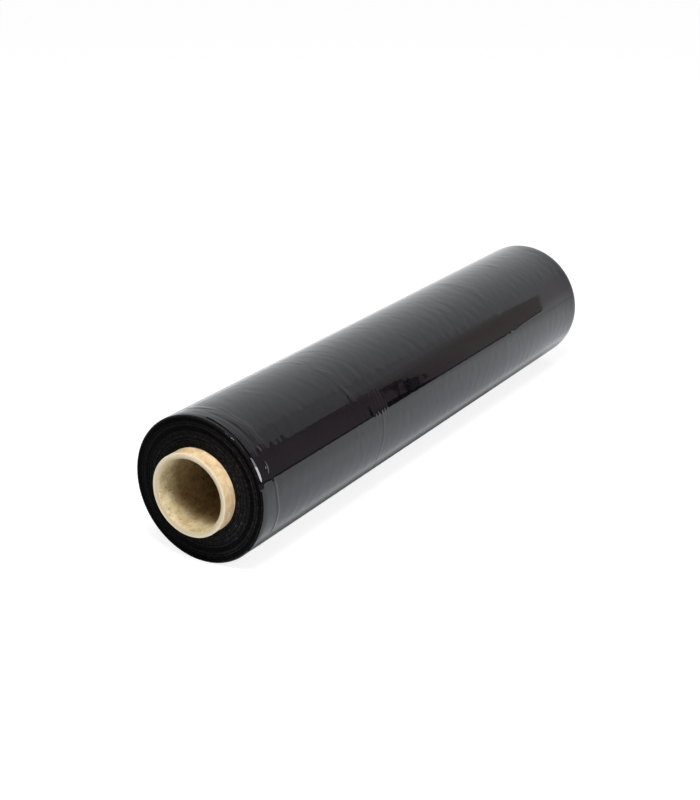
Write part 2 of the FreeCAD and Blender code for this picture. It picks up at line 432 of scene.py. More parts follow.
def wave_sum(place, angle, count, shortest, longest):
    """The sum of waves in random directions: cos(2 pi place / length + whole number * angle + phase)."""
    waves = np.zeros_like(place)
    for _ in range(count):
        length = random_numbers.uniform(shortest, longest)
        heading = random_numbers.uniform(0.0, math.pi)
        around = round(math.sin(heading) * GIRTH / length)
        along = math.cos(heading) * 2 * math.pi / length
        phase = random_numbers.uniform(0.0, 2 * math.pi)
        waves += np.cos(along * place + around * np.radians(angle) + phase)
    return waves / math.sqrt(count)


def streak_sum(place, angle, count):
    """The sum of streaks round the roll: waves 6 to 16 mm long along it, up to 24 of them round it."""
    waves = np.zeros_like(place)
    for _ in range(count):
        along = 2 * math.pi / random_numbers.uniform(6.0, 16.0)
        around = random_numbers.integers(-24, 25)
        phase = random_numbers.uniform(0.0, 2 * math.pi)
        waves += np.cos(along * place + around * np.radians(angle) + phase)
    return waves / math.sqrt(count)


def side_relief(place, angle):
    """How far the film's side stands out of a true cylinder, in millimetres."""
    relief = np.zeros_like(place)
    for _, near_width, far_width, crest in FOLDS:
        relief += fold_relief(place, angle, near_width, far_width, crest)
    relief += near_edge_relief(place, angle)
    slack = window(place, *SLACK_PLACES, 7.0) * window(angle, *SLACK_ANGLES, 3.0)
    relief += SLACK_HEIGHT * slack * wave_sum(place, angle, count=26, shortest=7.0, longest=14.0)
    relief += WAVE_HEIGHT * wave_sum(place, angle, count=20, shortest=40.0, longest=120.0)
    tight = window(angle, *TIGHT_ANGLES, 5.0) * (0.70 + 0.25 * smooth_step(place, 110.0, 140.0))
    relief += STREAK_HEIGHT * (1.0 - tight) * streak_sum(place, angle, count=60)
    relief += BAND_HEIGHT * window(place, *BAND_PLACES, 4.0)
    relief -= CREEP_DEPTH * np.exp((place - FILM_WIDTH / MM) / CREEP_LENGTH)
    return relief


# %% [markdown]
# ## The profile of the film
#
# The profile goes out over the near end, round its outer edge, along the side, and back over the far end.
# Along the side its points are close together only where folds need them: their number per millimetre is
# summed along the film, and equal shares of that sum give the places.

# %% Places along the film
COLUMNS = 204
FACE_POINTS = 62
SIDE_POINTS = 340
EDGE_POINTS = 7
EDGE_RADIUS = 0.9
RULER_POINTS = 5000
COARSE_STEP = 1.9
FINE_STEP = 0.45
FINE_STRETCHES = [(1.5, 23.0), (118.0, 134.0), (143.0, 163.0)]


def side_places():
    """Places along the side, in millimetres, closer together in the stretches with folds."""
    start, finish = EDGE_RADIUS, FILM_WIDTH / MM - EDGE_RADIUS
    ruler = np.linspace(start, finish, RULER_POINTS)
    per_mm = np.full_like(ruler, 1.0 / COARSE_STEP)
    for low, high in FINE_STRETCHES:
        per_mm += (1.0 / FINE_STEP - 1.0 / COARSE_STEP) * window(ruler, low, high, 2.0)
    summed = np.concatenate([[0.0], np.cumsum(per_mm[1:])])
    return np.interp(np.linspace(0.0, summed[-1], SIDE_POINTS), summed, ruler)


angles = np.linspace(-math.pi, math.pi, COLUMNS, endpoint=False)
side = side_places()
print(f"side: {len(side)} places, {np.diff(side).min():.2f} to {np.diff(side).max():.2f} mm apart")

# %% [markdown]
# ## The ends of the film
#
# An end of the roll shows the cut edges of all the turns. No two turns were wound to quite the same place,
# so the face is a set of rings that stand out by a few tenths of a millimetre, and they wander a little
# round the roll. The rings are in the skin, at the same pitch as in the solid, and the finer lines between
# them are left to a bump.

# %% Rings on an end
RING_PITCH = 1.7
RING_DEPTH = 0.5
PLAIN_BAND = 1.5
ANY_PHASE = (0, 6.3)


def ring_relief(radius, angle, seed):
    """How far an end face lies behind the plane of the film's end, in millimetres.

    Three sets of rings are added: cosines of the radius, at the ring pitch and at two other pitches, whose
    phase strays slowly with the angle. Near the core the turns have shifted more than further out.
    """
    numbers = np.random.default_rng(seed)
    rings = np.zeros_like(radius)
    for pitch, share in ((RING_PITCH, 0.5), (1.31 * RING_PITCH, 0.3), (2.7 * RING_PITCH, 0.35)):
        stray = 0.7 * np.sin(angle + numbers.uniform(*ANY_PHASE))
        stray = stray + 0.35 * np.sin(3 * angle + numbers.uniform(*ANY_PHASE))
        rings += share * np.cos(2 * math.pi * radius / pitch + stray + numbers.uniform(*ANY_PHASE))
    shifted = 0.75 + 0.5 * smooth_step(-radius, -43.0, -33.0)
    return RING_DEPTH * (0.45 + 0.4 * rings * shifted)


def end_profile(seed):
    """One end face from the core to the edge, then the quarter circle of the edge, in millimetres.

    Gives the distance in from the film's end, and the radius.
    """
    inner = CORE_RADIUS / MM
    outer = FILM_RADIUS / MM - EDGE_RADIUS
    radius = np.linspace(inner, outer, FACE_POINTS)[:, None] + np.zeros(COLUMNS)
    depth = ring_relief(radius, angles, seed) * (1.0 - smooth_step(radius, outer - PLAIN_BAND, outer))
    turn_by = np.linspace(0.0, math.pi / 2, EDGE_POINTS + 1)[1:-1, None] + np.zeros(COLUMNS)
    edge_depth = EDGE_RADIUS * (1.0 - np.cos(turn_by))
    edge_radius = outer + EDGE_RADIUS * np.sin(turn_by)
    return np.vstack([depth, edge_depth]), np.vstack([radius, edge_radius])


# %% [markdown]
# ## The wound film as one skin
#
# The two ends and the side are stacked into one grid. The side's relief also acts on the rounded edges, so
# that a fold that reaches an edge runs over it.

# %% Build the wound film
DULL_PLACES = (469.0, 476.0, 483.0, 487.5)


def build_film():
    """Stacks near end, side and far end into one grid. Gives the piece and each face's finish."""
    near_depth, near_radius = end_profile(seed=5)
    far_depth, far_radius = end_profile(seed=11)
    side_along = side[:, None] + np.zeros(COLUMNS)
    side_radius = np.full_like(side_along, FILM_RADIUS / MM)
    width = FILM_WIDTH / MM
    place = np.vstack([near_depth, side_along, width - far_depth[::-1]])
    radius = np.vstack([near_radius, side_radius, far_radius[::-1]])
    on_side = smooth_step(radius, FILM_RADIUS / MM - EDGE_RADIUS, FILM_RADIUS / MM)
    degrees = np.degrees(angles) + np.zeros_like(place)
    radius = radius + on_side * side_relief(place, degrees)
    piece = skin_round_axis("wound_film", (place - width / 2) * MM, radius * MM, angles)
    finish = np.where(place > DULL_PLACES[0], 1 + np.searchsorted(DULL_PLACES, place), 0)
    # Below the ramp the turns beneath get the black finish of the ends, a painted shade.
    finish[cut_or_shaded_near_edge(place, degrees)] = 1
    finish[: FACE_POINTS - 1] = 1
    finish[len(place) - FACE_POINTS:] = 1
    return piece, finish


wound_film, film_finish = build_film()

# %% [markdown]
# ## The finish of the film's side
#
# The film is polyethylene, coloured black right through, so nearly all that the eye sees is the room
# mirrored in it. The shader is a plain dark one with the refractive index of polyethylene, about 1.5.
# Rolling the film out of the machine leaves fine lines round the roll, which a stretched noise gives, and
# the cling film's grease makes the shine uneven. Along the front, where the film is tight, the lines are
# nearly pulled flat and the mirror is clearest. The last three centimetres at the far end are duller, in
# four small steps too faint to be seen one by one.

# %% Film side material
DULL_LEVELS = (0.46, 0.43, 0.40, 0.34)
TIGHT_LEVEL = AXIS_HEIGHT + FILM_RADIUS * math.cos(math.radians(65.0))
FILM_BLACK = (0.0027, 0.0024, 0.0027, 1.0)
FILM_BLACK_DUSTY = (0.0042, 0.0039, 0.0042, 1.0)
LINE_DEPTH = 0.028 * MM


def film_side_material(name, mirror_level=0.5):
    material, tree, shader = new_material(name, IOR=1.5, Specular_IOR_Level=mirror_level)
    lines_place = mapped_place(tree, (1.0, 0.10, 0.10))
    fine_lines = noise(tree, lines_place, 900.0, detail=4.0, roughness=0.65)
    broad_lines = noise(tree, lines_place, 160.0, detail=2.0)
    patches = noise(tree, mapped_place(tree, turn_by=(0.0, 0.0, 0.35)), 26.0, detail=4.0)
    crinkle = noise(tree, mapped_place(tree, (1.0, 0.35, 0.35), (0.0, 0.2, 0.3)), 220.0, detail=2.0)
    height = total(tree, product(tree, fine_lines, 0.3), broad_lines)
    height = total(tree, height, product(tree, crinkle, 0.5))
    above_tight = arithmetic(tree, "SUBTRACT", coordinate(tree, "Z"), TIGHT_LEVEL)
    from_tight = arithmetic(tree, "ABSOLUTE", above_tight)
    height = product(tree, height, spread(tree, from_tight, 0.009, 0.016, 0.05, 1.0))
    dust = spread(tree, patches, 0.4, 0.7, 0.0, 1.0)
    colour = blend_colours(tree, dust, FILM_BLACK, FILM_BLACK_DUSTY)
    shine = total(tree, product(tree, patches, 0.5), fine_lines)
    roughness = product(tree, spread(tree, shine, 0.4, 1.1, 0.035, 0.10),
                        spread(tree, from_tight, 0.009, 0.014, 0.4, 1.0))
    connect(tree, shader, Base_Color=colour, Roughness=roughness, Normal=bump(tree, height, LINE_DEPTH))
    return material


# %% [markdown]
# ## The finish of the film's ends
#
# Thousands of cut film edges side by side trap the light, so an end of the roll is far blacker than its
# side, and only the turns that stand out shine a little. The lines follow the turns: a noise of the
# distance from the axis, which is worked out from the place on the piece, gives rings and no seam. Near the
# core all the lines show, and towards the camera's side they are painted paler, a painted sheen from the
# lamps on that side. Pale specks near the core on the camera's side are painted glints.

# %% Film end material
END_BLACK = (0.0004, 0.0004, 0.0004, 1.0)
END_GREY = (0.0260, 0.0240, 0.0260, 1.0)
END_GLINT = (0.11, 0.11, 0.12, 1.0)
TURN_DEPTH = 0.25 * MM


def film_end_material():
    material, tree, shader = new_material("black_film_ends", Specular_IOR_Level=0.02, IOR=1.5)
    place = place_on_piece(tree)
    from_axis = distance_from_axis(tree)
    across = coordinate(tree, "Y")
    radius = total(tree, from_axis, product(tree, noise(tree, place, 18.0, detail=2.0), 0.8 * MM))
    one_way = ("ShaderNodeTexNoise", {"noise_dimensions": "1D"})
    turns = add_node(tree, *one_way, W=radius, Scale=1500.0, Detail=3.0).outputs["Fac"]
    bands = add_node(tree, *one_way, W=radius, Scale=330.0, Detail=1.0).outputs["Fac"]
    nicks = noise(tree, place, 420.0, detail=3.0)
    lines = product(tree, spread(tree, turns, 0.40, 0.66, 0.1, 1.0),
                    spread(tree, nicks, 0.35, 0.65, 0.4, 1.0))
    shown_rings = spread(tree, bands, 0.46, 0.60, 0.12, 0.9)
    near_core = spread(tree, from_axis, CORE_RADIUS + 8.5 * MM, CORE_RADIUS + 12 * MM, 1.0, 0.0)
    rings = product(tree, lines, arithmetic(tree, "MAXIMUM", shown_rings, near_core))
    # Towards the camera's side the ring lines are painted paler, a painted sheen from the lamps on that
    # side.
    shown = product(tree, rings, spread(tree, across, -0.025, 0.015, 1.0, 0.5))
    colour = blend_colours(tree, shown, END_BLACK, END_GREY)
    # Pale specks near the core on the camera's side are painted glints.
    painted_glints = product(tree, spread(tree, nicks, 0.59, 0.66, 0.0, 1.0),
                     spread(tree, turns, 0.52, 0.60, 0.0, 1.0))
    where = product(tree, spread(tree, across, -0.036, -0.016, 1.0, 0.10),
                    spread(tree, from_axis, CORE_RADIUS + 5 * MM, CORE_RADIUS + 13 * MM, 1.0, 0.12))
    colour = blend_colours(tree, product(tree, painted_glints, where), colour, END_GLINT)
    height = total(tree, total(tree, turns, product(tree, bands, 1.5)), product(tree, nicks, 0.4))
    connect(tree, shader, Base_Color=colour, Roughness=spread(tree, nicks, 0.3, 0.7, 0.14, 0.45),
            Normal=bump(tree, height, TURN_DEPTH))
    return material


film_finishes = [film_side_material("black_film_side"), film_end_material()]
for number, level in enumerate(DULL_LEVELS):
    film_finishes.append(film_side_material(f"black_film_dull_{number}", level))
paint_faces(wound_film, film_finishes, film_finish)
print(f"wound_film: {len(film_finishes)} finishes")
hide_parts("film_roll")
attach(wound_film, "root")

# %% [markdown]
# ## The cardboard core
#
# The core is wound from strips of kraft board laid on a spindle at a slant and glued, so its sawn end
# shows thin rings, its outer skin has a seam that climbs round it, and its bore has another. A saw leaves
# the rings furred: the hard glue lines stand a little proud of the soft board.

# %% Profile of the core
PLIES = 9
CORE_COLUMNS = 192
RIM_POINTS = 40
EDGE_ROWS = 11
BORE_POINTS = 96
INNER_EDGE = 2.0
OUTER_EDGE = 0.3
SEAM_LEAD = 150.0
SEAM_WIDTH = 0.9
SEAM_DEPTH = 0.16
OUTER_SEAM_START = 0.9
BORE_SEAM_START = 3.4
OUTSIDE_POINTS = 12
PROFILE_GAP = 0.6
POINT_CROWDING = 0.14
RIM_SET_BACK = 0.14

core_angles = np.linspace(-math.pi, math.pi, CORE_COLUMNS, endpoint=False)


def seam_relief(place, angle, radius, start):
    """The gap where two strips meet: a shallow groove that climbs round the tube by one lead a turn."""
    climb = place / SEAM_LEAD - (np.radians(angle) + start) / (2 * math.pi)
    distance = (climb - np.round(climb)) * SEAM_LEAD
    across = distance * math.cos(math.atan2(SEAM_LEAD, 2 * math.pi * radius))
    return -SEAM_DEPTH * np.exp(-((across / SEAM_WIDTH) ** 2))


def rim_relief(share, angle, seed):
    """How far a sawn end stands out: cosines for the glue lines, and the saw's wander round the tube."""
    numbers = np.random.default_rng(seed)
    glue_stray = 0.5 * np.sin(2 * angle + numbers.uniform(*ANY_PHASE))
    glue_lines = 0.05 * np.cos(2 * math.pi * PLIES * share + glue_stray)
    wander = 0.09 * np.sin(2 * angle + numbers.uniform(*ANY_PHASE))
    wander = wander + 0.05 * np.sin(5 * angle + numbers.uniform(*ANY_PHASE))
    return glue_lines + wander


def rounded_drop(distance, radius):
    """How far a rounded edge falls back: radius * (1 - sqrt(1 - (1 - distance from it / radius)^2))."""
    share = np.clip(1.0 - distance / radius, 0.0, 1.0)
    return radius * (1.0 - np.sqrt(1.0 - share**2))


def core_end(seed):
    """A sawn end from the bore to the outside, in millimetres, worn at its inner edge, sharp at the outer.

    Gives the distance in from the core's end, and the radius.
    """
    share = np.linspace(0.0, 1.0, RIM_POINTS)
    share = (share - POINT_CROWDING * np.sin(2 * math.pi * share))[:, None] + np.zeros(CORE_COLUMNS)
    wall = (CORE_RADIUS - BORE_RADIUS) / MM
    radius = BORE_RADIUS / MM + share * wall
    drop = rounded_drop(share * wall, INNER_EDGE) + rounded_drop((1.0 - share) * wall, OUTER_EDGE)
    flat = window(share, 0.16, 0.96, 0.08)
    return drop + RIM_SET_BACK - flat * rim_relief(share, core_angles, seed), radius


# %% Build the core
def build_core():
    """Stacks near end, outside, far end and bore into one grid. Gives the piece and each face's finish."""
    length = 2 * CORE_END / MM
    near_depth, near_radius = core_end(seed=3)
    far_depth, far_radius = core_end(seed=8)
    overhang = length / 2 - FILM_END / MM
    shown = np.linspace(OUTER_EDGE + PROFILE_GAP, overhang + 1.0, OUTSIDE_POINTS)
    outside = np.concatenate([shown, length - shown[::-1]])[:, None] + np.zeros(CORE_COLUMNS)
    mouth = INNER_EDGE + PROFILE_GAP
    bore = np.linspace(length - mouth, mouth, BORE_POINTS)[:, None] + np.zeros(CORE_COLUMNS)
    degrees = np.degrees(core_angles)
    outer_radius = CORE_RADIUS / MM + seam_relief(outside, degrees, CORE_RADIUS / MM, OUTER_SEAM_START)
    bore_radius = BORE_RADIUS / MM - seam_relief(bore, degrees, BORE_RADIUS / MM, BORE_SEAM_START)
    place = np.vstack([near_depth, outside, length - far_depth[::-1], bore])
    radius = np.vstack([near_radius, outer_radius, far_radius[::-1], bore_radius])
    piece = skin_round_axis("core_board", (place - length / 2) * MM, radius * MM, core_angles)
    finish = np.zeros(place.shape, dtype=np.int32)
    far_rim = RIM_POINTS + len(outside)
    finish[:EDGE_ROWS] = 2
    finish[EDGE_ROWS: RIM_POINTS - 1] = 1
    finish[far_rim: far_rim + RIM_POINTS - EDGE_ROWS] = 1
    finish[far_rim + RIM_POINTS - EDGE_ROWS:] = 2
    return piece, finish


core_board, core_finish = build_core()

# %% [markdown]
# ## The finish of the board
#
# Kraft board is a mat of brown fibres. Two finishes share one recipe: the outer skin is warm and smooth,
# and the bore is browner and flecked with bits of bark and glue. Further in than about two centimetres
# from its ends, the bore's colours are darker, a painted shade inside the tube, and its mouths keep its
# own paler colours. The fibres are a noise stretched along the strip, and the flecks are the peaks of a
# second noise. The sawn rim has a recipe of its own: it is paler, because a cut shows the inside of the
# fibres, it is painted darker towards the bore, a painted shade where it rounds into the bore, and it has
# a brown line at each layer of glue.

# %% Board materials
def board_material(name, pale, dark, fleck, fleck_share, grain_scale, bump_depth, stretch, mouth=None):
    material, tree, shader = new_material(name, Roughness=0.86, Specular_IOR_Level=0.25)
    strip = mapped_place(tree, stretch, turn_by=(0.5, 0.0, 0.0))
    fibres = noise(tree, strip, grain_scale, detail=6.0, roughness=0.7)
    clouds = noise(tree, mapped_place(tree), 120.0, detail=3.0)
    flecks = noise(tree, mapped_place(tree, turn_by=(0.3, 0.2, 0.1)), 640.0, detail=1.0)
    tone = total(tree, product(tree, fibres, 0.6), product(tree, clouds, 0.4))
    darkness = spread(tree, tone, 0.38, 0.62, 0.0, 1.0)
    colour = blend_colours(tree, darkness, pale, dark)
    if mouth:
        # Deeper in, the bore's pale and dark colours are darker, a painted shade inside the tube; near its
        # mouths it keeps its own paler colours.
        from_middle = arithmetic(tree, "ABSOLUTE", coordinate(tree, "X"))
        clear_of_painted_shade = spread(tree, from_middle, CORE_END - 0.022, CORE_END - 0.009, 0.0, 1.0)
        colour = blend_colours(tree, clear_of_painted_shade, colour, blend_colours(tree, darkness, *mouth))
    speck = spread(tree, flecks, 1.0 - fleck_share, 1.08 - fleck_share, 0.0, 0.85)
    colour = blend_colours(tree, speck, colour, fleck)
    connect(tree, shader, Base_Color=colour, Normal=bump(tree, fibres, bump_depth))
    return material


RIM_INNER_SHADED = (0.48, 0.39, 0.26, 1.0)
RIM_OUTER = (0.76, 0.66, 0.48, 1.0)
RIM_GLUE = (0.42, 0.30, 0.17, 1.0)
RIM_FUR = 0.12 * MM


def rim_material():
    material, tree, shader = new_material("sawn_board", Roughness=0.9, Specular_IOR_Level=0.2)
    place = place_on_piece(tree)
    depth = arithmetic(tree, "SUBTRACT", distance_from_axis(tree), BORE_RADIUS)
    share = arithmetic(tree, "DIVIDE", depth, CORE_RADIUS - BORE_RADIUS)
    plies = total(tree, product(tree, share, PLIES), noise(tree, place, 60.0, detail=2.0))
    lines = spread(tree, arithmetic(tree, "PINGPONG", plies, 0.5), 0.0, 0.16, 1.0, 0.0)
    fibres = noise(tree, place, 1500.0, detail=4.0, roughness=0.7)
    furred = total(tree, share, product(tree, arithmetic(tree, "SUBTRACT", fibres, 0.5), 0.9))
    # The rim is painted darker towards the bore, a painted shade where it rounds into the bore.
    colour = blend_colours(tree, spread(tree, furred, 0.1, 0.9, 0.0, 1.0), RIM_INNER_SHADED, RIM_OUTER)
    colour = blend_colours(tree, product(tree, lines, 0.5), colour, RIM_GLUE)
    connect(tree, shader, Base_Color=colour, Normal=bump(tree, fibres, RIM_FUR))
    return material


outer_board = board_material("kraft_outside", pale=(0.75, 0.59, 0.36, 1.0), dark=(0.52, 0.34, 0.18, 1.0),
                             fleck=(0.36, 0.24, 0.13, 1.0), fleck_share=0.26, grain_scale=300.0,
                             bump_depth=0.06 * MM, stretch=(1.0, 1.0, 0.25))
# The bore's pale and dark colours hold a painted shade; its mouth colours are its own.
bore_board = board_material("kraft_bore", pale=(0.49, 0.355, 0.18, 1.0), dark=(0.28, 0.18, 0.08, 1.0),
                            fleck=(0.08, 0.05, 0.025, 1.0), fleck_share=0.345, grain_scale=240.0,
                            bump_depth=0.08 * MM, stretch=(0.5, 1.0, 1.0),
                            mouth=((0.66, 0.555, 0.34, 1.0), (0.41, 0.31, 0.16, 1.0)))
paint_faces(core_board, [outer_board, rim_material(), bore_board], core_finish)
print(f"core_board: {core_finish.max() + 1} finishes")
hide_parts("core_tube")
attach(core_board, "root")

# %% [markdown]
# ## The floor
#
# The roll lies on a pale floor that fades into a white room. To the camera the floor adds a little light
# of its own, so that its open part is plain white, while the shade that the roll casts on it stays. What
# the film mirrors is the floor as it is lit, so the roll's own shade shows along its foot. On top of that,
# from 130 mm in front of the axis inwards and up to the far end, the mirrored floor's colour is painted
# darker, a painted shade, and a strip 30 to 53 mm in front of the axis glows, a painted light that softens
# the shade at the foot. The photograph's floor is brighter far behind the roll and past its far end, so
# the mirrored floor gets some light of its own there.

# %% Make the floor
def plain_plane(name, corners, material):
    """A flat sheet of the studio through the corners given. It isn't part of the roll."""
    mesh = bpy.data.meshes.new(name)
    mesh.from_pydata(corners, [], [tuple(range(len(corners)))])
    mesh.materials.append(material)
    sheet = new_object(name, mesh)
    return sheet


FLOOR_WHITE = (0.84, 0.88, 0.93, 1.0)
FLOOR_SHADED = (0.67, 0.705, 0.745, 1.0)
FLOOR_SOFT = (0.32, 0.32, 0.32, 1.0)


def floor_material():
    material = bpy.data.materials.new("white_floor")
    tree = empty_tree(material)
    lit = add_node(tree, "ShaderNodeBsdfDiffuse", Color=FLOOR_WHITE).outputs[0]
    softly_lit = add_node(tree, "ShaderNodeBsdfDiffuse", Color=FLOOR_SOFT).outputs[0]
    shown = sum_of_shaders(tree, softly_lit, add_node(tree, "ShaderNodeEmission", Strength=0.84).outputs[0])
    x, y = coordinate(tree, "X"), coordinate(tree, "Y")
    # A strip 30 to 53 mm in front of the axis glows for the film, a painted light that softens the mirrored
    # shade at the foot.
    foot = arithmetic(tree, "MINIMUM", spread(tree, y, -0.053, -0.044, 0.0, 0.32),
                      spread(tree, y, -0.042, -0.030, 0.32, 0.02))
    extra = total(tree, spread(tree, y, 0.10, 0.60, 0.0, 0.31), spread(tree, x, 0.12, 0.40, 0.0, 0.26))
    back_glow = add_node(tree, "ShaderNodeEmission", Strength=total(tree, extra, foot)).outputs[0]
    # The mirrored floor is painted darker from 130 mm in front of the axis inwards, up to the far end, a
    # painted shade.
    shade = product(tree, spread(tree, y, -0.13, -0.055, 0.0, 1.0), spread(tree, x, 0.10, 0.25, 1.0, 0.0))
    shaded = blend_colours(tree, shade, FLOOR_WHITE, FLOOR_SHADED)
    lit_for_film = add_node(tree, "ShaderNodeBsdfDiffuse", Color=shaded).outputs[0]
    to_film = for_rays(tree, "Glossy", lit, sum_of_shaders(tree, lit_for_film, back_glow))
    add_node(tree, "ShaderNodeOutputMaterial", Surface=for_rays(tree, "Camera", to_film, shown))
    return material


FLOOR_HALF = 6.0
FLOOR_DROP = 0.05 * MM
signs = ((-1, -1), (1, -1), (1, 1), (-1, 1))
floor_corners = [(FLOOR_HALF * x, FLOOR_HALF * y, -FLOOR_DROP) for x, y in signs]
plain_plane("floor", floor_corners, floor_material())
print(f"floor: {2 * FLOOR_HALF} m wide")

# %% [markdown]
# ## The room in the film
#
# A black mirror is drawn by what stands round it. The photograph's mirror image was read back with the
# fitted camera: a white room, a tall grey card beside the roll on the camera's side, and a lower
# purple-grey card that stands on the floor in front of it and ends before a paler one. A dark sheet along
# its foot is a painted shade, a few dark bars stand before its middle, and a glowing sheet in three panes,
# no lamp, is next to a gap near the camera, where it paints the glints of the lamp beside the camera. The
# cards stand 809 mm from the roll's axis. Only the film sees them: they are hidden from the camera and
# cast no shade. The dark bars are outlined where they are seen in the film, and mirrored rays take their
# sides back to the cards.

# %% Stand the cards
CARD_DISTANCE = 0.809
GREY_CARD = [(0.80, (0.50, 0.50, 0.53)), (1.50, (0.56, 0.55, 0.58))]
PURPLE_CARD = [(0.70, (0.29, 0.24, 0.28)), (1.00, (0.215, 0.17, 0.205)), (1.16, (0.34, 0.29, 0.31)),
               (1.28, (0.40, 0.35, 0.35)), (1.40, (0.385, 0.335, 0.325)), (1.60, (0.405, 0.35, 0.35))]
FAR_CARD = [(1.40, (0.92, 0.92, 0.93)), (2.40, (0.92, 0.92, 0.93))]
DARK_STAND_AND_SHADE = [(0.90, (0.01, 0.008, 0.01)), (1.10, (0.03, 0.024, 0.028))]
HALF_DARK = [(0.90, (0.09, 0.075, 0.085)), (1.10, (0.11, 0.095, 0.105))]
GAP_CARD = [(-0.30, (0.16, 0.145, 0.16)), (0.40, (0.24, 0.21, 0.24))]
GLINT_CARD = [(-0.53, (0.92, 0.93, 1.0)), (-0.29, (0.92, 0.93, 1.0))]
CARD_START = -1.0
CARD_SPAN = 4.0
MARKS_IN_FRONT = 18.0
SHEET_GAP = 0.5 * MM


def card(name, outlines, colours, in_front, strength=1.0, top=None):
    """Cards beside the roll, of one colour: outlines in X and Z, some millimetres before the rearmost.

    The colours are given at places along X, and blend between them. A top is two heights and a colour: the
    card blends to that colour from the first height to the second.
    """
    material = bpy.data.materials.new(name)
    tree = empty_tree(material)
    along = spread(tree, coordinate(tree, "X"), CARD_START, CARD_START + CARD_SPAN, 0.0, 1.0)
    ramp = add_node(tree, "ShaderNodeValToRGB", Fac=along)
    while len(ramp.color_ramp.elements) < len(colours):
        ramp.color_ramp.elements.new(0.5)
    for stop, (x, colour) in zip(ramp.color_ramp.elements, colours):
        stop.position = (x - CARD_START) / CARD_SPAN
        stop.color = (*colour, 1.0)
    colour = ramp.outputs["Color"]
    if top:
        height = spread(tree, coordinate(tree, "Z"), top[0], top[1], 0.0, 1.0)
        colour = blend_colours(tree, height, colour, (*top[2], 1.0))
    glow = add_node(tree, "ShaderNodeEmission", Color=colour, Strength=strength)
    add_node(tree, "ShaderNodeOutputMaterial", Surface=glow.outputs[0])
    y = in_front * MM - CARD_DISTANCE
    for number, outline in enumerate(outlines):
        sheet = plain_plane(f"{name}_{number}", [(x, y, z) for x, z in outline], material)
        sheet.visible_camera = False
        sheet.visible_diffuse = False
        sheet.visible_shadow = False
        sheet.visible_transmission = False
        y += SHEET_GAP


def seen_on_cards(place, angle):
    """Where the camera's line to a place and angle, mirrored by the film, meets the marks: X and Z."""
    turned = math.radians(angle)
    outward = np.array([0.0, -math.sin(turned), math.cos(turned)])
    spot = np.array([place * MM - FILM_END, 0.0, AXIS_HEIGHT]) + FILM_RADIUS * outward
    view = spot - np.array(CAMERA_PLACE)
    mirrored = view - 2.0 * view.dot(outward) * outward
    landing = spot + mirrored * (MARKS_IN_FRONT * MM - CARD_DISTANCE - spot[1]) / mirrored[1]
    return landing[0], landing[2]


def mark_on_cards(corners, steps=8):
    """The outline on the cards of a mark seen in the film. Its straight edges there are curved here."""
    outline = []
    for (place, angle), (next_place, next_angle) in zip(corners, corners[1:] + corners[:1]):
        for share in np.arange(steps) / steps:
            outline.append(seen_on_cards(place + share * (next_place - place),
                                         angle + share * (next_angle - angle)))
    return outline


DARK_MARKS = [
    [(177.6, 60.0), (182.4, 60.2), (182.4, 71.2), (177.6, 71.2)],
    [(190.0, 61.0), (197.0, 61.6), (197.4, 71.5), (190.4, 71.0)],
    [(198.6, 62.5), (202.4, 63.0), (203.0, 70.0), (199.2, 70.0)],
    [(209.0, 64.0), (213.0, 64.4), (213.4, 70.5), (209.6, 70.5)],
    [(142.0, 70.8), (148.0, 71.4), (150.0, 70.4), (152.5, 71.4), (155.0, 70.2), (158.0, 71.0),
     (160.5, 69.6), (170.0, 69.3), (200.0, 70.8), (236.0, 72.2), (236.0, 73.4), (142.0, 73.4)],
    [(138.6, 64.5), (141.2, 64.5), (142.4, 67.8), (147.5, 69.5), (147.5, 72.8), (138.0, 72.8)],
    [(218.0, 64.2), (222.4, 64.6), (222.6, 69.0), (218.4, 68.8)],
]
HALF_DARK_MARKS = [
    [(160, 57.8), (178, 57.5), (190, 58.6), (197, 60.4), (196, 61.8), (186, 61.2), (184, 62.4),
     (170, 62.4), (162, 59.8)],
    [(197.0, 61.8), (216.0, 63.4), (216.5, 71.5), (197.2, 70.8)],
]

card("grey_card", [[(0.2, 0.0), (1.54, 0.0), (1.55, 0.216), (1.61, 0.339), (1.70, 0.474), (1.74, 0.60),
                    (1.78, 0.77), (1.87, 1.05), (1.98, 1.40), (2.10, 1.75), (2.235, 2.11), (3.00, 4.2),
                    (0.2, 4.2)]],
     GREY_CARD, 0.0)
card("far_card", [[(1.39, 0.0), (2.35, 0.0), (2.60, 1.0), (2.0, 0.76), (1.873, 0.632), (1.72, 0.474),
                   (1.62, 0.339), (1.56, 0.216), (1.53, 0.10), (1.39, 0.03)]],
     FAR_CARD, 1.0, top=(0.0, 0.25, (0.69, 0.64, 0.69)))
card("purple_card", [[(0.2, 0.0), (1.40, 0.0), (1.41, 0.03), (1.522, 0.070), (1.534, 0.10), (1.559, 0.216),
                      (1.618, 0.339), (1.715, 0.474), (1.736, 0.50), (1.12, 0.50), (1.12, 0.635),
                      (0.2, 0.635)],
                     [(0.2, 0.63), (0.875, 0.63), (0.965, 0.79), (0.92, 0.84), (0.2, 0.86)]],
     PURPLE_CARD, 3.0)
card("purple_top", [[(1.12, 0.499), (1.736, 0.499), (1.78, 0.55), (1.72, 0.62), (1.60, 0.80),
                     (1.12, 0.80)]],
     PURPLE_CARD, 2.0, top=(0.50, 0.79, (0.50, 0.485, 0.515)))
card("dark_stand", [mark_on_cards(mark) for mark in DARK_MARKS], DARK_STAND_AND_SHADE, MARKS_IN_FRONT)
card("half_dark", [mark_on_cards(mark) for mark in HALF_DARK_MARKS], HALF_DARK, MARKS_IN_FRONT - 1.5)
